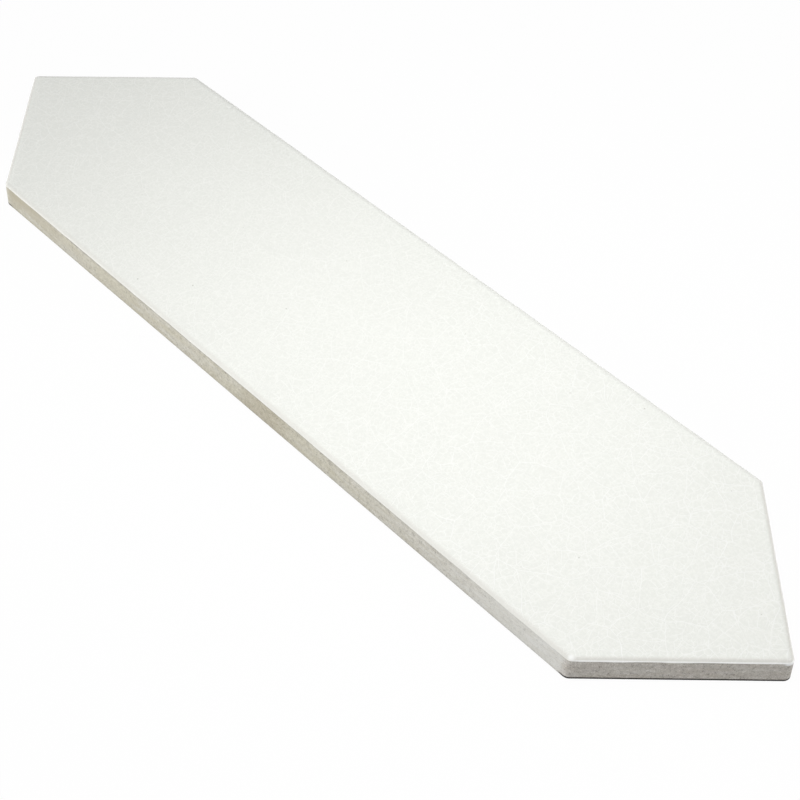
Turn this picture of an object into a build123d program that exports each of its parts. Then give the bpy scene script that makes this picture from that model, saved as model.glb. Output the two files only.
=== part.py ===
"""Picket wall tile: a long hexagon of pressed clay, glazed on its face and fired in one piece.

Millimetres. X runs from point to point, Y across the two long sides and Z up, from the back that
is bedded on the wall to the glazed face. The origin is the middle of the back.
"""

import math
import os

from build123d import *

# Outline, at the widest line of the side walls
tile_length = 300.0
tile_width = 75.0
point_angle = 90.0
corner_radius = 2.0

# Section: a bevel at the foot, a wall that leans in, a rounded rim, and a glazed face that is
# flat but for a cushioned margin that falls away to the rim
tile_thickness = 8.0
foot_bevel = 0.3
wall_lean = 0.6
rim_radius = 1.0
cushion_width = 2.6
cushion_drop = 0.2
cushion_steps = 3

# Keyed back: shallow pockets for the adhesive, between the ribs that the tile lies on
key_border = 5.0
key_pitch = 9.5
key_rib = 2.5
key_depth = 0.7
key_slope = 30.0
key_smallest_share = 0.4

# The rounding shortens each point, so the sharp outline reaches past the tile's length
half_point = math.radians(point_angle / 2)
tip_x = tile_length / 2 + corner_radius * (1 / math.sin(half_point) - 1)
shoulder_x = tip_x - tile_width / 2 / math.tan(half_point)
shoulder_y = tile_width / 2

rim_height = tile_thickness - cushion_drop
wall_height = rim_height - foot_bevel
wall_angle = math.degrees(math.atan2(wall_lean, wall_height))
rim_corner_radius = corner_radius - wall_lean

# The cushioned margin is an arc that leaves the flat of the face at a tangent
cushion_radius = (cushion_width**2 + cushion_drop**2) / (2 * cushion_drop)

key_size = key_pitch - key_rib
key_columns = int((2 * (tip_x - key_border) + key_rib) // key_pitch)
key_rows = int((tile_width - 2 * key_border + key_rib) // key_pitch)
key_smallest_area = key_smallest_share * key_size**2

with BuildSketch() as outline:
    with BuildLine():
        Polyline(
            (tip_x, 0),
            (shoulder_x, shoulder_y),
            (-shoulder_x, shoulder_y),
            (-tip_x, 0),
            (-shoulder_x, -shoulder_y),
            (shoulder_x, -shoulder_y),
            close=True,
        )
    make_face()

# A square grid of pockets, cut off at the border that runs all round the back
with BuildSketch() as keys:
    with GridLocations(key_pitch, key_pitch, key_columns, key_rows):
        Rectangle(key_size, key_size)
    offset(outline.sketch, amount=-key_border, kind=Kind.INTERSECTION, mode=Mode.INTERSECT)

with BuildPart() as picket_tile:
    # Side walls, leaning in from the widest line, and the bevel below it
    with BuildSketch(Plane.XY.offset(foot_bevel)) as widest:
        add(outline.sketch)
        fillet(widest.vertices(), radius=corner_radius)
    extrude(amount=wall_height, taper=wall_angle)
    extrude(widest.sketch, amount=-foot_bevel, taper=45)

    # Cushioned margin: levels along its arc, from the rim to the flat of the face
    for step in range(cushion_steps + 1):
        reach = cushion_width * step / cushion_steps
        rise = math.sqrt(cushion_radius**2 - (cushion_width - reach) ** 2) - cushion_radius
        with BuildSketch(Plane.XY.offset(tile_thickness + rise)) as level:
            offset(outline.sketch, amount=-wall_lean - reach, kind=Kind.INTERSECTION)
            fillet(level.vertices(), radius=rim_corner_radius)
    loft()

    # Rim, where the wall meets the cushioned margin
    rim = picket_tile.edges().group_by(lambda edge: abs(edge.center().Z - rim_height))[0]
    fillet(rim, radius=rim_radius)

    # Pockets of the keyed back, with sloping sides, less the slivers that the border leaves
    pockets = keys.faces().filter_by(lambda pocket: pocket.area > key_smallest_area)
    extrude(pockets, amount=key_depth, taper=key_slope, mode=Mode.SUBTRACT)

picket_tile.part.label = "picket_tile"
os.makedirs("parts", exist_ok=True)
export_step(picket_tile.part, "parts/picket_tile.step")
print(len(pockets), "pockets in the back,", len(picket_tile.faces()), "faces")
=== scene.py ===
"""Picket wall tile in Blender: a long hexagon of fired clay under a glossy white crackle glaze.

Everything is in metres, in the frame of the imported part. X runs from point to point, Y across the
two long sides and Z up, from the back to the glazed face.
"""

import logging
import math
from collections.abc import Callable
from dataclasses import dataclass, field
from enum import Enum

import bmesh
import bpy
from mathutils import Matrix, Vector


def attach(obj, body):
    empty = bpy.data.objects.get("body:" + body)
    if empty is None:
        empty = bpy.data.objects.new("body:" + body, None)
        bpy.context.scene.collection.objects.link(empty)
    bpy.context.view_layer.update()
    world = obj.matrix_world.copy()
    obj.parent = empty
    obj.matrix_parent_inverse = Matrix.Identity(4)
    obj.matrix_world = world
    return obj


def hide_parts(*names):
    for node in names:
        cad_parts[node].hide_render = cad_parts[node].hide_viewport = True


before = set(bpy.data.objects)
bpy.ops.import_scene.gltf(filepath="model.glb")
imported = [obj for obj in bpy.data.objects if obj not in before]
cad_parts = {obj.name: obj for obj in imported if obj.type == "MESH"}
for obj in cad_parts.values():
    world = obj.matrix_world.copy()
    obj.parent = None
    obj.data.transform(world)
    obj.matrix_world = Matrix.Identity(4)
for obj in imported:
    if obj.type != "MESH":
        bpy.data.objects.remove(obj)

LOG = logging.getLogger("picket_tile")
MM = 0.001

# Heights that differ by less are one level, and directions whose dot product is more are one way
LEVEL = 0.001 * MM
LEVEL_DIGITS = 6
FACING = 0.99
PARALLEL = 0.9999


class Element(Enum):
    """What an edit-mode tool acts on: a mesh's list of them, their name and the tool's setting."""

    VERTEX = ("verts", "VERT", (True, False, False))
    EDGE = ("edges", "EDGE", (False, True, False))
    FACE = ("faces", "FACE", (False, False, True))


def clear_selection() -> None:
    """Deselects every object."""
    for other in bpy.context.selected_objects:
        other.select_set(False)


class Bench:
    """Edit mode on one piece, where what a tool acts on is picked by its place or normal."""

    def __init__(self, piece: bpy.types.Object) -> None:
        """Keeps the piece to be worked on.

        Args:
            piece: a mesh object that lies at the origin.
        """
        self.piece = piece

    def __enter__(self) -> "Bench":
        """Opens edit mode on the piece alone, with nothing picked.

        Returns:
            The bench itself.
        """
        clear_selection()
        self.piece.select_set(True)
        bpy.context.view_layer.objects.active = self.piece
        bpy.ops.object.mode_set(mode="EDIT")
        bpy.ops.mesh.select_all(action="DESELECT")
        return self

    def __exit__(self, *problem: object) -> None:
        """Goes back to object mode.

        Args:
            problem: what went wrong inside, if anything did; not used.
        """
        bpy.ops.object.mode_set(mode="OBJECT")

    def pick(self, element: Element, wanted: Callable[..., bool]) -> int:
        """Picks the vertices, edges or faces that pass a test, and nothing else.

        Args:
            element: whether vertices, edges or faces are picked.
            wanted: the test, which takes one bmesh element.

        Returns:
            How many were picked.
        """
        members, mode, tool_mode = element.value
        bpy.context.tool_settings.mesh_select_mode = tool_mode
        bpy.ops.mesh.select_all(action="DESELECT")
        mesh = bmesh.from_edit_mesh(self.piece.data)
        mesh.select_mode = {mode}
        count = 0
        for member in getattr(mesh, members):
            if not member.hide and wanted(member):
                member.select = True
                count += 1
        mesh.select_flush_mode()
        bmesh.update_edit_mesh(self.piece.data)
        return count

    def cut(self, place: Vector, normal: Vector, clear: bool = False, snap: float = 1e-7) -> None:
        """Cuts all that isn't hidden along a plane.

        Args:
            place: a point of the plane.
            normal: the plane's normal.
            clear: whether what lies in front of the plane is taken off.
            snap: how near a vertex may be for the cut to go through it.
        """
        bpy.ops.mesh.select_all(action="SELECT")
        bpy.ops.mesh.bisect(plane_co=place, plane_no=normal, clear_outer=clear, threshold=snap)


def faces_down(face: bmesh.types.BMFace) -> bool:
    """Whether a face is part of the level back."""
    return face.normal.z < -FACING


@dataclass
class PicketTile:
    """The tile: its blank, leaning walls, rounded and glazed rim, cushioned face and keyed back."""

    length: float = 300 * MM
    width: float = 75 * MM
    thickness: float = 8 * MM
    half_point: float = math.radians(45)
    corner_radius: float = 2 * MM
    corner_steps: int = 6
    corner_longest_step: float = 0.4 * MM
    foot_bevel: float = 0.3 * MM
    wall_lean: float = 0.6 * MM
    rim_radius: float = 1.0 * MM
    rim_steps: int = 7
    cushion_width: float = 2.6 * MM
    cushion_drop: float = 0.2 * MM
    cushion_reaches: tuple[float, ...] = (1.3 * MM, 1.7 * MM, 2.1 * MM)
    side_shortest_line: float = 40 * MM
    long_steps: int = 100
    point_steps: int = 17
    face_snap: float = 0.06 * MM
    face_shortest_edge: float = 0.02 * MM
    face_ripple: float = 0.05 * MM
    face_ripple_size: float = 26 * MM
    face_ripple_from: float = 0.02 * MM
    glaze_line: float = 7.2 * MM
    glaze_lip: float = 0.05 * MM
    glaze_swell: float = 0.07 * MM
    glaze_swell_clear: float = 0.05 * MM
    glaze_swell_start: float = 0.7
    glaze_swell_gain: float = 1.2
    glaze_wander: float = 0.55 * MM
    glaze_wander_size: float = 9 * MM
    glaze_wander_below: float = 0.5 * MM
    glaze_wander_above: float = 0.45 * MM
    glaze_wander_gain: float = 1.25
    key_border: float = 5 * MM
    key_pitch: float = 9.5 * MM
    key_rib: float = 2.5 * MM
    key_depth: float = 0.7 * MM
    key_slope: float = math.radians(30)
    key_smallest_share: float = 0.4
    key_softening: float = 0.14 * MM
    key_softening_steps: int = 2
    key_softened_angle: float = 0.5
    smooth_angle: float = math.radians(32)
    piece: bpy.types.Object | None = field(default=None, init=False)

    @property
    def tip_x(self) -> float:
        """Where the sharp outline's points would be, past the rounding."""
        return self.length / 2 + self.corner_radius * (1 / math.sin(self.half_point) - 1)

    @property
    def rim_height(self) -> float:
        """The height of the sharp edge that the rim's rounding takes off."""
        return self.thickness - self.cushion_drop

    @property
    def point_normals(self) -> list[Vector]:
        """The outward directions of the four sides that make the points."""
        across = math.cos(self.half_point)
        along = math.sin(self.half_point)
        return [Vector((x * along, y * across, 0)) for x in (1, -1) for y in (1, -1)]

    @property
    def point_reach(self) -> float:
        """How far the sides that make the points are from the middle of the tile."""
        return self.tip_x * math.sin(self.half_point)

    def cushion_height(self, reach: float) -> float:
        """The height of the cushioned margin, which leaves the flat of the face at a tangent.

        Args:
            reach: the distance in from the rim's sharp edge.

        Returns:
            The height above the foot.
        """
        radius = (self.cushion_width**2 + self.cushion_drop**2) / (2 * self.cushion_drop)
        return self.thickness + math.sqrt(radius**2 - (self.cushion_width - reach) ** 2) - radius

    def build(self) -> bpy.types.Object:
        """Models the whole tile.

        Returns:
            The finished mesh object.
        """
        self.cut_blank()
        self.raise_walls()
        self.press_back()
        self.round_rim()
        self.divide_sides()
        self.divide_face()
        self.swell_glaze()
        self.settle_glaze()
        return self.piece

    def cut_blank(self) -> None:
        """Cuts the hexagon out of a flat sheet at the widest line and rounds its six corners."""
        clear_selection()
        bpy.ops.mesh.primitive_plane_add(size=2 * self.tip_x, location=(0, 0, self.foot_bevel))
        self.piece = bpy.context.active_object
        self.piece.name = "glazed_picket_tile"
        bpy.ops.object.transform_apply(location=True, rotation=True, scale=True)
        with Bench(self.piece) as bench:
            for normal in self.point_normals:
                bench.cut(normal * self.point_reach, normal, clear=True)
            for side in (1, -1):
                normal = Vector((0, side, 0))
                bench.cut(normal * self.width / 2, normal, clear=True)
            tips = (0.0, 2 * self.half_point)
            shoulders = (self.width / 2, math.pi - self.half_point)
            for reach, angle in (tips, shoulders):
                bench.pick(Element.VERTEX, lambda v, y=reach: abs(abs(v.co.y) - y) < LEVEL)
                bpy.ops.mesh.bevel(
                    offset_type="ABSOLUTE",
                    offset=self.corner_radius / math.tan(angle / 2),
                    segments=self.corner_steps,
                    affect="VERTICES",
                )

    def raise_walls(self) -> None:
        """Raises the leaning walls and the cushioned margin from the blank, and closes the back."""
        with Bench(self.piece) as bench:
            bench.pick(Element.FACE, lambda face: True)
            bpy.ops.mesh.inset(thickness=self.wall_lean, depth=self.rim_height - self.foot_bevel)
            last_reach = 0.0
            last_height = self.rim_height
            for reach in (*self.cushion_reaches, self.cushion_width):
                height = self.cushion_height(reach)
                bpy.ops.mesh.inset(thickness=reach - last_reach, depth=height - last_height)
                if last_reach == 0:
                    self.close_corners(bench, height)
                last_reach = reach
                last_height = height
            bench.pick(Element.EDGE, lambda edge: len(edge.link_faces) == 1)
            bpy.ops.mesh.edge_face_add()
            bpy.ops.mesh.select_all(action="SELECT")
            bpy.ops.mesh.normals_make_consistent(inside=False)
            bench.pick(Element.FACE, faces_down)
            bpy.ops.mesh.inset(thickness=self.foot_bevel, depth=self.foot_bevel)

    def close_corners(self, bench: Bench, height: float) -> None:
        """Draws the arc at each corner together into a point, because the margin outruns its radius.

        Args:
            bench: the open edit mode.
            height: the level of the margin that has just been raised.
        """

        def is_level(member: bmesh.types.BMEdge | bmesh.types.BMFace) -> bool:
            """Whether an edge or face lies at that level."""
            return all(abs(vertex.co.z - height) < LEVEL for vertex in member.verts)

        def is_arc_step(edge: bmesh.types.BMEdge) -> bool:
            """Whether an edge is one step of a corner's arc at that level."""
            return edge.calc_length() < self.corner_longest_step and is_level(edge)

        bench.pick(Element.EDGE, is_arc_step)
        bpy.ops.mesh.merge(type="COLLAPSE")
        bench.pick(Element.FACE, is_level)

    def press_back(self) -> None:
        """Presses the grid of shallow pockets into the back, with softened edges."""
        half = (self.key_pitch - self.key_rib) / 2
        columns = int((2 * (self.tip_x - self.key_border) + self.key_rib) // self.key_pitch)
        rows = int((self.width - 2 * self.key_border + self.key_rib) // self.key_pitch)
        border = self.point_reach - self.key_border
        middles_x = [(place - (columns - 1) / 2) * self.key_pitch for place in range(columns)]
        middles_y = [(place - (rows - 1) / 2) * self.key_pitch for place in range(rows)]
        smallest = self.key_smallest_share * (2 * half) ** 2

        def in_pocket(face: bmesh.types.BMFace) -> bool:
            """Whether a piece of the back is one of the pockets.

            Args:
                face: a face of the back.

            Returns:
                True for a pocket that is large enough to be pressed.
            """
            middle = face.calc_center_median()
            if face.calc_area() < smallest:
                return False
            if any(normal.dot(middle) > border for normal in self.point_normals):
                return False
            in_column = any(abs(middle.x - place) < half for place in middles_x)
            return in_column and any(abs(middle.y - place) < half for place in middles_y)

        def is_pocket_edge(edge: bmesh.types.BMEdge) -> bool:
            """Whether an edge is one of a pocket's, at its mouth, in its corners or at its floor."""
            return len(edge.link_faces) == 2 and edge.calc_face_angle(0) > self.key_softened_angle

        with Bench(self.piece) as bench:
            bench.pick(Element.FACE, faces_down)
            bpy.ops.mesh.hide(unselected=True)
            for middle in middles_x:
                for side in (-half, half):
                    bench.cut(Vector((middle + side, 0, 0)), Vector((1, 0, 0)))
            for middle in middles_y:
                for side in (-half, half):
                    bench.cut(Vector((0, middle + side, 0)), Vector((0, 1, 0)))
            for normal in self.point_normals:
                bench.cut(normal * border, normal)
            pockets = bench.pick(Element.FACE, in_pocket)
            LOG.info("%d pockets in the back", pockets)
            slope = self.key_depth * math.tan(self.key_slope)
            bpy.ops.mesh.inset(thickness=slope, depth=-self.key_depth, use_individual=True)
            bench.pick(Element.EDGE, is_pocket_edge)
            bpy.ops.mesh.bevel(
                offset=self.key_softening,
                segments=self.key_softening_steps,
                affect="EDGES",
            )
            bpy.ops.mesh.reveal(select=False)

    def round_rim(self) -> None:
        """Rounds the rim and cuts the lines that the edge of the glaze follows."""

        def is_rim(edge: bmesh.types.BMEdge) -> bool:
            """Whether an edge is part of the rim's sharp line."""
            return all(abs(vertex.co.z - self.rim_height) < LEVEL for vertex in edge.verts)

        wall = math.atan2(self.wall_lean, self.rim_height - self.foot_bevel)
        first = self.cushion_reaches[0]
        margin = math.atan2(self.cushion_height(first) - self.rim_height, first)
        turn = math.pi / 2 - wall - margin
        with Bench(self.piece) as bench:
            bench.pick(Element.EDGE, is_rim)
            bpy.ops.mesh.bevel(
                offset=self.rim_radius * math.tan(turn / 2),
                segments=self.rim_steps,
                affect="EDGES",
            )
            bench.pick(Element.FACE, lambda face: face.calc_center_median().z < self.foot_bevel)
            bpy.ops.mesh.hide(unselected=False)
            for height in (self.glaze_line - self.glaze_lip, self.glaze_line):
                bench.cut(Vector((0, 0, height)), Vector((0, 0, 1)))
            bpy.ops.mesh.reveal(select=False)

    def divide_sides(self) -> None:
        """Divides the walls, rim and margin along each side into short steps."""
        with Bench(self.piece) as bench:
            self.divide_lines(bench, [Vector((0, 1, 0))], self.long_steps)
            self.divide_lines(bench, self.point_normals, self.point_steps)

    def divide_lines(self, bench: Bench, normals: list[Vector], steps: int) -> None:
        """Divides the level lines above the foot on some of the sides and on their opposites.

        Args:
            bench: the open edit mode.
            normals: the outward directions of the sides.
            steps: how many steps each line gets.
        """
        directions = [Vector((-normal.y, normal.x, 0)) for normal in normals]

        def runs_along(edge: bmesh.types.BMEdge) -> bool:
            """Whether an edge is one of these lines.

            Args:
                edge: an edge of the tile.

            Returns:
                True for a line that goes the length of the side.
            """
            low, high = (vertex.co for vertex in edge.verts)
            run = high - low
            if (low.z + high.z) / 2 < self.foot_bevel / 2 or run.length < self.side_shortest_line:
                return False
            return any(abs(run.normalized().dot(way)) > PARALLEL for way in directions)

        bench.pick(Element.EDGE, runs_along)
        bpy.ops.mesh.subdivide(number_cuts=steps - 1, quadcorner="INNERVERT")

    def divide_face(self) -> None:
        """Divides the flat of the face into a grid that meets the lines of its margin."""
        inset = self.wall_lean + self.cushion_width
        point_reach = self.point_reach - inset
        flat_tip = point_reach / math.sin(self.half_point)
        flat_y = self.width / 2 - inset
        flat_x = flat_tip - flat_y / math.tan(self.half_point)
        snap = self.face_snap
        level = self.thickness - LEVEL
        with Bench(self.piece) as bench:
            bench.pick(Element.FACE, lambda face: min(v.co.z for v in face.verts) > level)
            bpy.ops.mesh.hide(unselected=True)
            for step in range(self.long_steps + 1):
                place = flat_x * (2 * step / self.long_steps - 1)
                bench.cut(Vector((place, 0, 0)), Vector((1, 0, 0)), snap=snap)
            for step in range(1, self.point_steps):
                share = step / self.point_steps
                for side in (1, -1):
                    place = side * (flat_x + (flat_tip - flat_x) * share)
                    bench.cut(Vector((place, 0, 0)), Vector((1, 0, 0)), snap=snap)
                    bench.cut(Vector((0, side * flat_y * share, 0)), Vector((0, 1, 0)), snap=snap)
            bench.cut(Vector((0, 0, 0)), Vector((0, 1, 0)), snap=snap)
            bpy.ops.mesh.select_all(action="SELECT")
            bpy.ops.mesh.dissolve_degenerate(threshold=self.face_shortest_edge)
            bpy.ops.mesh.reveal(select=False)

    def swell_glaze(self) -> None:
        """Swells the glaze over the clay, so that it ends in a rounded lip below the rim."""
        swell_top = self.rim_height - self.glaze_swell_clear
        with Bench(self.piece) as bench:
            mesh = bmesh.from_edit_mesh(self.piece.data)
            heights = sorted({round(vertex.co.z, LEVEL_DIGITS) for vertex in mesh.verts})
            for height in heights:
                if not self.glaze_line - LEVEL < height < swell_top:
                    continue
                share = (height - self.glaze_line) / (swell_top - self.glaze_line)
                gain = self.glaze_swell_start + self.glaze_swell_gain * share
                fullness = math.cos(share * math.pi / 2) * gain
                bench.pick(Element.VERTEX, lambda v, level=height: abs(v.co.z - level) < 2 * LEVEL)
                bpy.ops.transform.shrink_fatten(value=self.glaze_swell * fullness)

    def settle_glaze(self) -> None:
        """Parts glaze from clay, lets its edge wander and the face ripple, and smooths it all."""
        mesh = self.piece.data
        for polygon in mesh.polygons:
            bare = polygon.center.z < self.glaze_line - self.glaze_lip / 2
            polygon.material_index = int(bare)
        low = self.glaze_line - self.glaze_wander_below
        high = self.glaze_line + self.glaze_wander_above
        edge = self.piece.vertex_groups.new(name="glaze_edge")
        flat = self.piece.vertex_groups.new(name="glazed_flat")
        for vertex in mesh.vertices:
            height = vertex.co.z
            if low < height < high:
                nearness = 1 - abs(height - self.glaze_line) / self.glaze_wander_below
                weight = max(0.0, min(1.0, self.glaze_wander_gain * nearness))
                edge.add([vertex.index], weight, "REPLACE")
            if height > self.thickness - self.face_ripple_from:
                flat.add([vertex.index], 1.0, "REPLACE")
        self.displace("glaze_edge", self.glaze_wander, self.glaze_wander_size, middle=0.5)
        self.displace("glazed_flat", self.face_ripple, self.face_ripple_size, middle=1.0)
        bpy.ops.object.shade_smooth_by_angle(angle=self.smooth_angle)

    def displace(
        self, group: str, strength: float, grain: float, middle: float, layers: int = 2
    ) -> None:
        """Moves a group of vertices up and down by a soft cloud pattern, and applies it.

        Args:
            group: the vertex group that moves.
            strength: the height of the pattern.
            grain: the size of its features.
            middle: the value of the pattern that doesn't move.
            layers: how many finer layers the pattern has.
        """
        clouds = bpy.data.textures.new(group, "CLOUDS")
        clouds.noise_scale = grain
        clouds.noise_depth = layers
        modifier = self.piece.modifiers.new(group, "DISPLACE")
        modifier.texture = clouds
        modifier.texture_coords = "LOCAL"
        modifier.direction = "Z"
        modifier.vertex_group = group
        modifier.strength = strength
        modifier.mid_level = middle
        bpy.context.view_layer.objects.active = self.piece
        bpy.ops.object.modifier_apply(modifier=modifier.name)


class Signal:
    """One output in a shader's nodes, with its arithmetic written as Python expressions."""

    def __init__(self, paint: "Paint", link: bpy.types.NodeSocket | None) -> None:
        """Wraps an output.

        Args:
            paint: the shader that it belongs to.
            link: the output socket, or nothing for a node that has none.
        """
        self.paint = paint
        self.link = link

    def math(self, operation: str, *values: "Signal | float") -> "Signal":
        """Adds a Math node.

        Args:
            operation: the node's operation.
            values: its inputs in order.

        Returns:
            The node's output.
        """
        return self.paint.node("ShaderNodeMath", {"operation": operation}, dict(enumerate(values)))

    def __add__(self, other: "Signal | float") -> "Signal":
        """This plus another."""
        return self.math("ADD", self, other)

    def __sub__(self, other: "Signal | float") -> "Signal":
        """This less another."""
        return self.math("SUBTRACT", self, other)

    def __mul__(self, other: "Signal | float") -> "Signal":
        """This times another."""
        return self.math("MULTIPLY", self, other)

    def __radd__(self, other: float) -> "Signal":
        """Another plus this."""
        return self.math("ADD", other, self)

    def __rsub__(self, other: float) -> "Signal":
        """Another less this."""
        return self.math("SUBTRACT", other, self)

    def __rmul__(self, other: float) -> "Signal":
        """Another times this."""
        return self.math("MULTIPLY", other, self)

    def largest(self, other: "Signal | float") -> "Signal":
        """The larger of this and another."""
        return self.math("MAXIMUM", self, other)

    def smallest(self, other: "Signal | float") -> "Signal":
        """The smaller of this and another."""
        return self.math("MINIMUM", self, other)

    def absolute(self) -> "Signal":
        """This without its sign."""
        return self.math("ABSOLUTE", self)

    def power(self, exponent: float) -> "Signal":
        """This raised to a power."""
        return self.math("POWER", self, exponent)

    def step(self, low: float, high: float, start: float = 0.0, end: float = 1.0) -> "Signal":
        """Eases from one value to another as this goes from low to high.

        Args:
            low: where the change begins.
            high: where it ends.
            start: the value at low and below.
            end: the value at high and above.

        Returns:
            The eased value.
        """
        values = {"Value": self, "From Min": low, "From Max": high, "To Min": start, "To Max": end}
        settings = {"interpolation_type": "SMOOTHSTEP"}
        return self.paint.node("ShaderNodeMapRange", settings, values)

    def fade(self, low: float, high: float) -> "Signal":
        """Eases from 1 to 0 as this goes from low to high."""
        return self.step(low, high, 1.0, 0.0)


class Paint:
    """The nodes of one material or of the world."""

    def __init__(self, owner: bpy.types.Material | bpy.types.World) -> None:
        """Clears the owner's nodes.

        Args:
            owner: the material or world to be painted.
        """
        owner.use_nodes = True
        self.tree = owner.node_tree
        self.tree.nodes.clear()

    def node(
        self,
        kind: str,
        settings: dict[str, object] | None = None,
        values: dict[str | int, object] | None = None,
        output: str | int = 0,
    ) -> Signal:
        """Adds any node, with its settings made before its sockets are filled.

        Args:
            kind: the node's type.
            settings: its own settings, such as an operation.
            values: a number, colour or Signal for each socket, by name or place.
            output: the output that is wanted, by name or place.

        Returns:
            That output.
        """
        made = self.tree.nodes.new(kind)
        for name, setting in (settings or {}).items():
            setattr(made, name, setting)
        for place, value in (values or {}).items():
            if isinstance(value, Signal):
                self.tree.links.new(value.link, made.inputs[place])
            else:
                made.inputs[place].default_value = value
        return Signal(self, made.outputs[output] if len(made.outputs) else None)

    def vector(self, operation: str, *values: Signal | tuple[float, ...]) -> Signal:
        """Adds a Vector Math node.

        Args:
            operation: the node's operation.
            values: its inputs in order.

        Returns:
            The vector that comes out.
        """
        return self.node("ShaderNodeVectorMath", {"operation": operation}, dict(enumerate(values)))

    def place(self) -> Signal:
        """The place on the piece, in metres."""
        return self.node("ShaderNodeTexCoord", output="Object")

    def axis(self, place: Signal, name: str) -> Signal:
        """One of the three parts of a place.

        Args:
            place: the place.
            name: X, Y or Z.

        Returns:
            That part as a number.
        """
        return self.node("ShaderNodeSeparateXYZ", values={"Vector": place}, output=name)

    def distance(self, place: Signal, point: tuple[float, float, float]) -> Signal:
        """How far a place is from a point.

        Args:
            place: the place.
            point: the point.

        Returns:
            The distance in metres.
        """
        settings = {"operation": "DISTANCE"}
        return self.node("ShaderNodeVectorMath", settings, {0: place, 1: point}, "Value")

    def noise(self, place: Signal, size: float, detail: float = 2.0, roughness: float = 0.5) -> Signal:
        """A soft random pattern between 0 and 1.

        Args:
            place: where it is read.
            size: the size of its features, in metres.
            detail: how many finer layers it has.
            roughness: how strong those are.

        Returns:
            The pattern's value.
        """
        values = {"Vector": place, "Scale": 1 / size, "Detail": detail, "Roughness": roughness}
        return self.node("ShaderNodeTexNoise", values=values)

    def strayed(self, value: Signal, place: Signal, size: float, amount: float) -> Signal:
        """A number that a soft pattern makes larger in some places and smaller in others.

        Args:
            value: the number to begin with.
            place: where the pattern is read.
            size: the size of the pattern's features.
            amount: the most that it can differ between two places.

        Returns:
            The uneven number.
        """
        return value + (self.noise(place, size) - 0.5) * amount

    def warped(self, place: Signal, size: float, amount: float) -> Signal:
        """A place pushed about by a soft pattern, so that straight lines become gentle curves.

        Args:
            place: the place to begin with.
            size: the size of the pattern's features.
            amount: the furthest push.

        Returns:
            The pushed place.
        """
        values = {"Vector": place, "Scale": 1 / size, "Detail": 1.0}
        cloud = self.node("ShaderNodeTexNoise", values=values, output="Color")
        centred = self.vector("SUBTRACT", cloud, (0.5,) * 3)
        push = self.vector("MULTIPLY", centred, (2 * amount,) * 3)
        return self.vector("ADD", place, push)

    def cells(self, place: Signal, cell: float, feature: str, output: str | int = 0) -> Signal:
        """A level pattern of random cells.

        Args:
            place: where it is read.
            cell: the size of a cell, in metres.
            feature: what is read from the cells.
            output: the output that is wanted.

        Returns:
            That output, with its distances counted in cells.
        """
        settings = {"voronoi_dimensions": "2D", "feature": feature}
        values = {"Vector": place, "Scale": 1 / cell}
        return self.node("ShaderNodeTexVoronoi", settings, values, output)

    def mixed(
        self, share: Signal, first: Signal | tuple[float, ...], second: Signal | tuple[float, ...]
    ) -> Signal:
        """A blend of two colours.

        Args:
            share: how much of the second there is.
            first: the colour at 0.
            second: the colour at 1.

        Returns:
            The blended colour.
        """
        values = {0: share, 6: first, 7: second}
        return self.node("ShaderNodeMix", {"data_type": "RGBA"}, values, 2)

    def bump(self, height: Signal, depth: float) -> Signal:
        """The normal of a fine relief.

        Args:
            height: the relief from 0 to 1.
            depth: its real depth, in metres.

        Returns:
            The normal.
        """
        values = {"Strength": 1.0, "Distance": depth, "Height": height}
        return self.node("ShaderNodeBump", values=values)

    def seen(self) -> Signal:
        """1 for rays that show a surface in the picture, in a mirror or through glass, else 0."""
        camera = self.node("ShaderNodeLightPath", output="Is Camera Ray")
        rays = camera.link.node.outputs
        glossy = Signal(self, rays["Is Glossy Ray"])
        through = Signal(self, rays["Is Transmission Ray"])
        return (camera + glossy + through).smallest(1.0)


def rgba(red: float, green: float, blue: float) -> tuple[float, float, float, float]:
    """A colour as it looks on screen, made linear.

    Args:
        red: from 0 to 1.
        green: from 0 to 1.
        blue: from 0 to 1.

    Returns:
        The linear colour with full alpha.
    """
    parts = (red, green, blue)
    linear = [((part + 0.055) / 1.055) ** 2.4 if part > 0.04045 else part / 12.92 for part in parts]
    return (*linear, 1.0)


def within_sides(paint: Paint, place: Signal) -> tuple[Signal, Signal]:
    """How far in a place is from the long sides and from the sides that make the points.

    Args:
        paint: the material's nodes.
        place: the place on the tile.

    Returns:
        The two distances in from the tile's widest line, in metres.
    """
    tile = PicketTile()
    across = paint.axis(place, "Y").absolute()
    along = paint.axis(place, "X").absolute()
    reach = along * math.sin(tile.half_point) + across * math.cos(tile.half_point)
    return tile.width / 2 - across, tile.point_reach - reach


@dataclass(frozen=True)
class Mottle:
    """A soft random pattern that goes from bare to full between two of its values."""

    size: float
    low: float
    high: float
    detail: float = 2.0
    roughness: float = 0.5
    bare: float = 0.0
    full: float = 1.0

    def on(self, paint: Paint, place: Signal) -> Signal:
        """Lays the pattern on a surface.

        Args:
            paint: the material's nodes.
            place: where it is read.

        Returns:
            The pattern's value.
        """
        noise = paint.noise(place, self.size, self.detail, self.roughness)
        return noise.step(self.low, self.high, self.bare, self.full)


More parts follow.
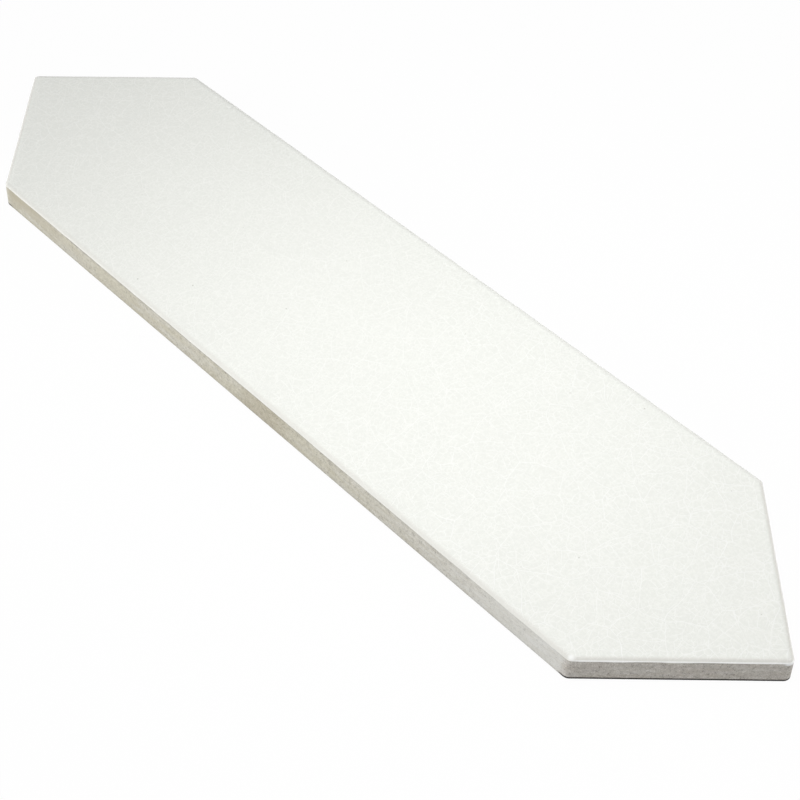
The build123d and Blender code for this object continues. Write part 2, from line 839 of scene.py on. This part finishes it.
@dataclass(frozen=True)
class CrackleGlaze:
    """A glossy off-white glaze with a faint fine network of hair cracks, a shade lighter than itself."""

    name: str = "crackle_glaze"
    colour: tuple[float, ...] = rgba(0.969, 0.974, 0.951)
    cloudy: tuple[float, ...] = rgba(0.924, 0.931, 0.907)
    # The crack white also paints the highlight on the bead and the glint at the near left corner
    crack: tuple[float, ...] = rgba(0.996, 0.998, 0.990)
    thin_glaze_and_shade: tuple[float, ...] = rgba(0.855, 0.850, 0.825)
    pinhole: tuple[float, ...] = rgba(0.66, 0.65, 0.61)

    # Three networks of cracks, each within the cells of the one before, along gently bent lines
    crack_width: float = 0.12 * MM
    crack_core: float = 0.2
    wide_bend: tuple[float, float] = (16 * MM, 3.2 * MM)
    small_bend: tuple[float, float] = (2.4 * MM, 0.3 * MM)
    long_cell: float = 10 * MM
    long_strength: float = 0.4
    long_unfaded: float = 0.35
    middle_cell: float = 4.4 * MM
    middle_strength: float = 0.6
    fine_cell: float = 1.9 * MM
    fine_strength: float = 0.5
    fading: Mottle = Mottle(8 * MM, 0.34, 0.64, detail=1.0, bare=0.25)
    broken: Mottle = Mottle(2.2 * MM, 0.34, 0.58, detail=1.0)
    plainer_along: tuple[float, float] = (-40 * MM, 120 * MM)
    plainness: tuple[float, float] = (0.42, 0.9)

    # The body of the glaze, faintly clouded
    cloud: Mottle = Mottle(18 * MM, 0.3, 0.7, detail=3.0)
    cloud_share: float = 0.1
    grain: Mottle = Mottle(0.55 * MM, 0.32, 0.68, detail=3.0, roughness=0.6)
    grain_share: float = 0.86

    # Its margin, painted darker for thinner glaze and as painted shade on the rim, its bead painted
    # whiter as a painted highlight, and a painted glint at the near left corner
    long_side_margin: tuple[float, float] = (0.6 * MM, 2.5 * MM)
    point_side_margin: tuple[float, float] = (0.85 * MM, 2.1 * MM)
    margin_share: float = 0.9
    rear_from: float = 20 * MM
    rear_margin_share: float = 0.5
    bead: tuple[float, float] = (7.52 * MM, 7.68 * MM)
    bead_highlight_share: float = 0.9
    # A painted glint: a white spot on the rim at the near left corner
    glint_place: tuple[float, float, float] = (113.0 * MM, -36.05 * MM, 7.85 * MM)
    glint_reach: tuple[float, float] = (0.1 * MM, 1.2 * MM)
    glint_share: float = 0.95

    # Pinholes, of which there is at most one to a cell, with their reach counted in cells
    pinhole_cell: float = 30 * MM
    pinhole_reach: tuple[float, float] = (0.004, 0.011)
    pinhole_free: Mottle = Mottle(40 * MM, 0.35, 0.65, detail=1.0, full=0.006)
    pinhole_share: float = 0.6

    # The surface
    wave_size: float = 5 * MM
    wave_relief: float = 0.35
    crack_relief: float = 0.7
    relief_depth: float = 0.010 * MM
    roughness: float = 0.20
    crack_roughness: float = 0.2
    grain_roughness: float = 0.08
    specular: float = 0.35
    coat: float = 0.85
    crack_coat_loss: float = 0.35
    coat_roughness: float = 0.05
    coat_ior: float = 1.5

    def rim_shade_and_highlight(self, paint: Paint, place: Signal) -> tuple[Signal, Signal]:
        """Where the rim is painted darker, and where the bead is painted whiter.

        The darker rim stands for thinner glaze and is painted shade where the rim turns away from the
        light; it is weaker on the rear long side than on the front one. On the sides of the points the
        rolled bead at the glaze's edge is painted whiter, a painted highlight on glaze run together.

        Args:
            paint: the material's nodes.
            place: where it is read.

        Returns:
            1 on the darker, shaded rim fading to 0 on the bead and on the face, and 1 on the bead alone.
        """
        from_long_side, from_point_side = within_sides(paint, place)
        long_side = from_long_side.fade(*self.long_side_margin)
        point_side = from_point_side.fade(*self.point_side_margin)
        above_bead = paint.axis(place, "Z").step(*self.bead)
        less_behind = paint.axis(place, "Y").step(0.0, self.rear_from, 1.0, self.rear_margin_share)
        thin_glaze_and_shade = (long_side * less_behind).largest(point_side * above_bead)
        return thin_glaze_and_shade, point_side * (1 - above_bead)

    def cracks(self, paint: Paint, place: Signal, cell: float) -> Signal:
        """One network of hair cracks.

        Args:
            paint: the material's nodes.
            place: where it is read.
            cell: the size of the cells between the cracks.

        Returns:
            1 in a crack and 0 beside it.
        """
        width = self.crack_width / cell
        return paint.cells(place, cell, "DISTANCE_TO_EDGE").fade(self.crack_core * width, width)

    def parted(self, paint: Paint, place: Signal, cell: float) -> Signal:
        """A place that jumps from cell to cell of a network, so that finer cracks end at its own.

        Args:
            paint: the material's nodes.
            place: where the network is read.
            cell: the size of its cells.

        Returns:
            The place, with another shift in each cell.
        """
        return paint.vector("ADD", place, paint.cells(place, cell, "F1", "Color"))

    def network(self, paint: Paint, place: Signal) -> Signal:
        """All the hair cracks.

        Args:
            paint: the material's nodes.
            place: where they are read.

        Returns:
            How strong the crack is at each place, and 0 between the cracks.
        """
        curved = paint.warped(paint.warped(place, *self.wide_bend), *self.small_bend)
        within_long = self.parted(paint, curved, self.long_cell)
        within_middle = self.parted(paint, within_long, self.middle_cell)
        fading = self.fading.on(paint, place)
        broken = self.broken.on(paint, place)
        unfaded = self.long_strength + self.long_unfaded * fading
        long = self.cracks(paint, curved, self.long_cell) * unfaded
        middle = self.cracks(paint, within_long, self.middle_cell) * self.middle_strength * fading
        fine = self.cracks(paint, within_middle, self.fine_cell) * self.fine_strength * broken
        return long.largest(middle).largest(fine)

    def pinholes(self, paint: Paint, place: Signal) -> Signal:
        """The few pinholes, of which there are none where the pinhole-free pattern is full.

        Args:
            paint: the material's nodes.
            place: where they are read.

        Returns:
            1 in a pinhole and 0 beside it.
        """
        away = paint.cells(place, self.pinhole_cell, "F1") + self.pinhole_free.on(paint, place)
        return away.fade(*self.pinhole_reach)

    def material(self) -> bpy.types.Material:
        """Makes the material.

        Returns:
            The finished material.
        """
        made = bpy.data.materials.new(self.name)
        paint = Paint(made)
        place = paint.place()
        network = self.network(paint, place)
        grain = self.grain.on(paint, place)
        clouded = self.cloud.on(paint, place) * self.cloud_share + grain * self.grain_share
        body = paint.mixed(clouded, self.colour, self.cloudy)
        plainness = paint.axis(place, "X").step(*self.plainer_along, *self.plainness)
        lined = paint.mixed(network * plainness, body, self.crack)
        # The rim is painted darker, for thinner glaze and as painted shade, and the bead whiter as a
        # painted highlight
        thin_glaze_and_shade, bead = self.rim_shade_and_highlight(paint, place)
        bead_highlighted = paint.mixed(bead * self.bead_highlight_share, lined, self.crack)
        thinned_and_shaded = paint.mixed(thin_glaze_and_shade * self.margin_share, bead_highlighted, self.thin_glaze_and_shade)
        # A painted glint on the rim at the near left corner
        glint = paint.distance(place, self.glint_place).fade(*self.glint_reach)
        glinted = paint.mixed(glint * self.glint_share, thinned_and_shaded, self.crack)
        pinholes = self.pinholes(paint, place)
        spotted = paint.mixed(pinholes * self.pinhole_share, glinted, self.pinhole)
        waves = paint.noise(place, self.wave_size, detail=1.0)
        relief = 1 - self.crack_relief * network - pinholes + self.wave_relief * waves
        roughness = self.roughness + self.crack_roughness * network + self.grain_roughness * grain
        shader = paint.node(
            "ShaderNodeBsdfPrincipled",
            values={
                "Base Color": spotted,
                "Roughness": roughness,
                "Specular IOR Level": self.specular,
                "Coat Weight": self.coat - self.crack_coat_loss * network,
                "Coat Roughness": self.coat_roughness,
                "Coat IOR": self.coat_ior,
                "Normal": paint.bump(relief, self.relief_depth),
            },
        )
        paint.node("ShaderNodeOutputMaterial", values={"Surface": shader})
        return made


@dataclass(frozen=True)
class WallPlace:
    """A place on the side walls, in the terms that the clay's finish goes by."""

    place: Signal
    along: Signal
    height: Signal
    at_point: Signal
    at_edge: Signal

    @classmethod
    def on(cls, paint: Paint, point_side: tuple[float, float], edge: tuple[float, float]) -> "WallPlace":
        """Reads the place.

        Args:
            paint: the material's nodes.
            point_side: how far in from the sides of the points their own look fades.
            edge: how far in from any side the outer edge of the back fades.

        Returns:
            The place, with 1 for the sides of the points and 1 for the outer edge.
        """
        place = paint.place()
        from_long_side, from_point_side = within_sides(paint, place)
        return cls(
            place=place,
            along=paint.axis(place, "X"),
            height=paint.axis(place, "Z"),
            at_point=from_point_side.fade(*point_side),
            at_edge=from_long_side.smallest(from_point_side).fade(*edge),
        )


@dataclass(frozen=True)
class FiredClay:
    """Bare fired clay: matt, with fine specks and level streaks, olive at one end and grey at the other."""

    name: str = "fired_clay"
    grey: tuple[float, ...] = rgba(0.770, 0.766, 0.748)
    olive: tuple[float, ...] = rgba(0.735, 0.722, 0.664)
    rosy: tuple[float, ...] = rgba(0.724, 0.705, 0.682)
    # The stain brown also tones the painted shade at the rear end of the long sides
    stain: tuple[float, ...] = rgba(0.666, 0.641, 0.568)
    shade: tuple[float, ...] = rgba(0.522, 0.503, 0.475)
    speck: tuple[float, ...] = rgba(0.445, 0.427, 0.400)
    fleck: tuple[float, ...] = rgba(0.880, 0.870, 0.850)
    pale: tuple[float, ...] = rgba(0.835, 0.838, 0.826)
    # The foot colour paints the shadow line along the foot
    foot: tuple[float, ...] = rgba(0.240, 0.232, 0.224)
    glaze: tuple[float, ...] = rgba(0.955, 0.960, 0.962)
    point_side: tuple[float, float] = (0.7 * MM, 2.2 * MM)
    outer_edge: tuple[float, float] = (0.4 * MM, 1 * MM)

    # The body, olive to grey along the tile and rosy at the near point, with flattened streaks
    grey_along: tuple[float, float] = (15 * MM, 110 * MM)
    grey_stray: tuple[float, float] = (20 * MM, 90 * MM)
    rosy_along: tuple[float, float] = (0.0, 20 * MM)
    flattening: float = 7.0
    patch: Mottle = Mottle(11 * MM, 0.42, 0.62, roughness=0.6)
    patch_share: float = 0.4
    streak: Mottle = Mottle(5 * MM, 0.34, 0.66, detail=3.0, roughness=0.6)
    streak_share: float = 0.42
    streak_point_loss: float = 0.14

    # One brown stain on the front long side
    stain_place: tuple[float, float, float] = (5 * MM, -37.5 * MM, 1.5 * MM)
    stain_reach: tuple[float, float] = (4.5 * MM, 15 * MM)
    stain_stray: tuple[float, float] = (6 * MM, 12 * MM)
    stain_share: float = 0.75

    # Dark specks and light flecks, stronger on the sides of the points
    grain_size: float = 0.3 * MM
    coarse_size: float = 1.1 * MM
    grain_share: float = 0.72
    speck_values: tuple[float, float] = (0.52, 0.66)
    speck_share: float = 0.75
    speck_point_gain: float = 0.12
    fleck_values: tuple[float, float] = (0.47, 0.34)
    fleck_share: float = 0.5
    fleck_point_gain: float = 0.27

    # Painted shade under the glaze and low down, a pale front end, and browner painted shade at the
    # rear end of the long sides
    unevenness: float = 0.25 * MM
    under_glaze: tuple[float, float] = (6.7 * MM, 7.1 * MM)
    under_glaze_along: tuple[float, float] = (-130 * MM, 80 * MM)
    under_glaze_shares: tuple[float, float] = (0.95, 0.3)
    blotch: Mottle = Mottle(7 * MM, 0.52, 0.68, bare=0.1, full=0.6)
    low_down: tuple[float, float] = (0.3 * MM, 5 * MM)
    low_down_share: float = 0.10
    front_end: tuple[float, float] = (66 * MM, 104 * MM)
    front_end_share: float = 0.4
    rear_end: tuple[float, float] = (-112 * MM, -72 * MM)
    rear_end_height: tuple[float, float] = (1 * MM, 6 * MM)
    rear_end_share: float = 0.85

    # Glaze that has run down at the near tip, and a painted shadow line at the foot
    run_along: tuple[float, float] = (148.0 * MM, 148.9 * MM)
    run_height: tuple[float, float] = (6.45 * MM, 6.75 * MM)
    run_share: float = 0.85
    foot_shadow_height: tuple[float, float] = (0.75 * MM, 1.05 * MM)
    foot_shadow_share: float = 0.13
    foot_shadow_point_gain: float = 0.87

    # The surface
    roughness: float = 0.86
    streak_roughness: float = 0.1
    specular: float = 0.25
    grain_relief: float = 0.7
    streak_relief: float = 0.3
    relief_depth: float = 0.05 * MM

    def body(self, paint: Paint, wall: WallPlace, streaks: Signal, flat: Signal) -> Signal:
        """The clay's own colour.

        Args:
            paint: the material's nodes.
            wall: the place on the walls.
            streaks: 1 in a streak and 0 beside it.
            flat: the place, flattened so that a pattern on it lies level.

        Returns:
            The colour of the clay with its patches, streaks and stain.
        """
        wandering = paint.strayed(wall.along, wall.place, *self.grey_stray)
        greyed = paint.mixed(wandering.step(*self.grey_along), self.olive, self.grey)
        ended = paint.mixed(wall.at_point * wall.along.step(*self.rosy_along), greyed, self.rosy)
        patched = paint.mixed(self.patch.on(paint, flat) * self.patch_share, ended, self.grey)
        share = self.streak_share - self.streak_point_loss * wall.at_point
        streaked = paint.mixed(streaks * share, patched, self.stain)
        away = paint.distance(wall.place, self.stain_place)
        ragged = paint.strayed(away, wall.place, *self.stain_stray)
        stained = ragged.step(*self.stain_reach, self.stain_share, 0.0)
        return paint.mixed(stained, streaked, self.stain)

    def specked(
        self, paint: Paint, wall: WallPlace, colour: Signal, grain: Signal, coarse: Signal
    ) -> Signal:
        """Strews dark specks and light flecks over a colour.

        Args:
            paint: the material's nodes.
            wall: the place on the walls.
            colour: the colour below.
            grain: the finer random pattern.
            coarse: the coarser one.

        Returns:
            The specked colour.
        """
        speckle = grain * self.grain_share + coarse * (1 - self.grain_share)
        dark_share = self.speck_share + self.speck_point_gain * wall.at_point
        light_share = self.fleck_share + self.fleck_point_gain * wall.at_point
        dark = speckle.step(*self.speck_values) * dark_share
        light = speckle.step(*self.fleck_values) * light_share
        return paint.mixed(light, paint.mixed(dark, colour, self.speck), self.fleck)

    def shaded(self, paint: Paint, wall: WallPlace, colour: Signal, uneven: Signal) -> Signal:
        """Paints shade under the glaze and low down, pales the front end and paints browner shade at the
        rear end.

        Args:
            paint: the material's nodes.
            wall: the place on the walls.
            colour: the colour below.
            uneven: the height, a little uneven.

        Returns:
            The shaded colour.
        """
        on_side = 1 - wall.at_point
        side_shares = wall.along.step(*self.under_glaze_along, *self.under_glaze_shares)
        shares = side_shares * on_side + wall.at_point * self.blotch.on(paint, wall.place)
        under_glaze = uneven.step(*self.under_glaze) * shares
        low_down = wall.height.step(*self.low_down, self.low_down_share, 0.0) * on_side
        shaded = paint.mixed(under_glaze + low_down, colour, self.shade)
        front_end = wall.along.step(*self.front_end) * on_side
        paled = paint.mixed(front_end * self.front_end_share, shaded, self.pale)
        # Painted shade with a browner tone under the glaze at the rear end of the long sides
        rear_end = wall.along.fade(*self.rear_end) * on_side
        rear_shade_and_brown = rear_end * wall.height.step(*self.rear_end_height) * self.rear_end_share
        return paint.mixed(rear_shade_and_brown, paled, self.stain)

    def ended(self, paint: Paint, wall: WallPlace, colour: Signal, uneven: Signal) -> Signal:
        """Adds the run of glaze at the near tip and a painted shadow line at the foot.

        Args:
            paint: the material's nodes.
            wall: the place on the walls.
            colour: the colour below.
            uneven: the height, a little uneven.

        Returns:
            The finished colour.
        """
        run_down = wall.along.step(*self.run_along) * uneven.step(*self.run_height)
        glazed = paint.mixed(run_down * self.run_share, colour, self.glaze)
        # A painted shadow line along the foot, darkest on the sides of the points
        share = self.foot_shadow_share + self.foot_shadow_point_gain * wall.at_point
        foot_shadow = uneven.fade(*self.foot_shadow_height) * share
        return paint.mixed(foot_shadow * wall.at_edge, glazed, self.foot)

    def material(self) -> bpy.types.Material:
        """Makes the material.

        Returns:
            The finished material.
        """
        made = bpy.data.materials.new(self.name)
        paint = Paint(made)
        wall = WallPlace.on(paint, self.point_side, self.outer_edge)
        flat = paint.vector("MULTIPLY", wall.place, (1.0, 1.0, self.flattening))
        streaks = self.streak.on(paint, flat)
        grain = paint.noise(wall.place, self.grain_size, detail=3.0, roughness=0.7)
        coarse = paint.noise(wall.place, self.coarse_size, detail=1.0)
        uneven = wall.height + (coarse - 0.5) * self.unevenness
        body = self.body(paint, wall, streaks, flat)
        specked = self.specked(paint, wall, body, grain, coarse)
        shaded = self.shaded(paint, wall, specked, uneven)
        finished = self.ended(paint, wall, shaded, uneven)
        relief = grain * self.grain_relief + streaks * self.streak_relief
        shader = paint.node(
            "ShaderNodeBsdfPrincipled",
            values={
                "Base Color": finished,
                "Roughness": self.roughness + self.streak_roughness * streaks,
                "Specular IOR Level": self.specular,
                "Normal": paint.bump(relief, self.relief_depth),
            },
        )
        paint.node("ShaderNodeOutputMaterial", values={"Surface": shader})
        return made


@dataclass(frozen=True)
class Softbox:
    """One soft studio lamp, aimed at a point of the tile and not mirrored in its glaze."""

    name: str
    place: tuple[float, float, float]
    size: tuple[float, float]
    power: float
    aim: tuple[float, float, float] = (0.0, 0.0, 0.0)
    spread: float = math.radians(180)

    def hang(self) -> bpy.types.Object:
        """Adds the lamp.

        Returns:
            The lamp's object.
        """
        lamp = bpy.data.lights.new(self.name, "AREA")
        lamp.shape = "RECTANGLE"
        lamp.size, lamp.size_y = self.size
        lamp.energy = self.power
        lamp.spread = self.spread
        made = bpy.data.objects.new(self.name, lamp)
        bpy.context.scene.collection.objects.link(made)
        made.location = self.place
        away = Vector(self.place) - Vector(self.aim)
        made.rotation_euler = away.to_track_quat("Z", "Y").to_euler()
        made.visible_camera = False
        made.visible_glossy = False
        return made


@dataclass(frozen=True)
class Viewpoint:
    """Where the photograph was taken from."""

    azimuth: float = math.radians(45.562)
    elevation: float = math.radians(50.384)
    roll: float = math.radians(0.204)
    distance: float = 397.608 * MM
    target: tuple[float, float, float] = (25.481 * MM, -5.955 * MM, 0.0)
    focal_pixels: float = 1464.64
    frame_pixels: int = 800
    sensor: float = 36.0
    nearest: float = 10 * MM
    furthest: float = 50.0

    def camera(self) -> bpy.types.Object:
        """Adds the camera and makes it the scene's own.

        Returns:
            The camera's object.
        """
        level = math.cos(self.elevation)
        back = Vector((
            math.sin(self.azimuth) * level,
            -math.cos(self.azimuth) * level,
            math.sin(self.elevation),
        ))
        right = Vector((math.cos(self.azimuth), math.sin(self.azimuth), 0))
        up = back.cross(right)
        turned_right = math.cos(self.roll) * right + math.sin(self.roll) * up
        turned_up = math.cos(self.roll) * up - math.sin(self.roll) * right
        lens = bpy.data.cameras.new("photo_camera")
        lens.sensor_width = self.sensor
        lens.lens = self.focal_pixels * self.sensor / self.frame_pixels
        lens.clip_start = self.nearest
        lens.clip_end = self.furthest
        made = bpy.data.objects.new("photo_camera", lens)
        bpy.context.scene.collection.objects.link(made)
        turn = Matrix((turned_right, turned_up, back)).transposed().to_4x4()
        made.matrix_world = Matrix.Translation(Vector(self.target) + back * self.distance) @ turn
        bpy.context.scene.camera = made
        return made


@dataclass(frozen=True)
class Studio:
    """The pale floor, the white surround and the soft lamps."""

    floor_size: float = 6.0
    floor_colour: tuple[float, ...] = rgba(0.97, 0.97, 0.97)
    floor_glow: float = 0.97
    floor_white: float = 1.0
    contact_shadow_colour: tuple[float, ...] = rgba(0.16, 0.15, 0.14)
    contact_reach: float = 0.12 * MM
    contact_fall: float = 5.0
    contact_samples: int = 3
    surround_light: float = 0.3
    surround_white: float = 1.0
    lamps: tuple[Softbox, ...] = (
        Softbox(
            name="overhead_softbox",
            place=(0.05, 0.0, 0.32),
            size=(0.16, 0.16),
            power=0.022,
            aim=(0.05, 0.0, 0.0),
            spread=math.radians(90),
        ),
        Softbox(
            name="wide_overhead_softbox",
            place=(0.02, 0.0, 0.36),
            size=(0.30, 0.16),
            power=0.058,
            aim=(0.02, 0.0, 0.0),
            spread=math.radians(100),
        ),
        Softbox(
            name="narrow_overhead_softbox",
            place=(0.02, 0.0, 0.34),
            size=(0.16, 0.10),
            power=0.05,
            aim=(0.02, 0.0, 0.0),
            spread=math.radians(70),
        ),
        Softbox(
            name="front_softbox",
            place=(0.42, -0.36, 0.30),
            size=(0.4, 0.3),
            power=0.5,
            aim=(0.1, 0.0, 0.0),
        ),
        Softbox(name="left_softbox", place=(-0.50, -0.62, 0.16), size=(0.5, 0.22), power=4.5),
        Softbox(name="rear_softbox", place=(0.48, 0.48, 0.30), size=(0.4, 0.3), power=1.8),
    )

    def floor(self) -> bpy.types.Object:
        """Lays the floor that the tile lies on.

        Returns:
            The floor's object.
        """
        clear_selection()
        bpy.ops.mesh.primitive_plane_add(size=self.floor_size)
        made = bpy.context.active_object
        made.name = "studio_floor"
        material = bpy.data.materials.new("studio_floor")
        paint = Paint(material)
        # A painted contact shadow: the floor darkens and stops glowing where the tile stands close
        settings = {"samples": self.contact_samples}
        values = {"Distance": self.contact_reach}
        open_sky = paint.node("ShaderNodeAmbientOcclusion", settings, values, "AO")
        clear = open_sky.power(self.contact_fall)
        colour = paint.mixed(clear, self.contact_shadow_colour, self.floor_colour)
        matt = paint.node("ShaderNodeBsdfDiffuse", values={"Color": colour})
        values = {"Color": (1.0,) * 4, "Strength": self.floor_white}
        glow = paint.node("ShaderNodeEmission", values=values)
        share = paint.seen() * self.floor_glow * clear
        mix = paint.node("ShaderNodeMixShader", values={0: share, 1: matt, 2: glow})
        paint.node("ShaderNodeOutputMaterial", values={"Surface": mix})
        made.data.materials.append(material)
        return made

    def surround(self) -> None:
        """Makes the world soft and even, and white where it is seen."""
        world = bpy.data.worlds.new("studio_surround")
        bpy.context.scene.world = world
        paint = Paint(world)
        added_white = self.surround_white - self.surround_light
        strength = self.surround_light + added_white * paint.seen()
        values = {"Color": (1.0,) * 4, "Strength": strength}
        glow = paint.node("ShaderNodeBackground", values=values)
        paint.node("ShaderNodeOutputWorld", values={"Surface": glow})

    def set_up(self) -> None:
        """Builds the whole studio."""
        self.surround()
        self.floor()
        for lamp in self.lamps:
            lamp.hang()
        bpy.context.scene.view_settings.view_transform = "Standard"


def main() -> None:
    """Builds the scene and reports each piece."""
    logging.basicConfig(level=logging.INFO, format="%(name)s: %(message)s")
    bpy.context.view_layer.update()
    Viewpoint().camera()
    Studio().set_up()
    tile = PicketTile()
    piece = tile.build()
    piece.data.materials.append(CrackleGlaze().material())
    piece.data.materials.append(FiredClay().material())
    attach(piece, "root")
    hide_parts("picket_tile")
    LOG.info("%s has %d faces", piece.name, len(piece.data.polygons))


if __name__ == "__main__":
    main()
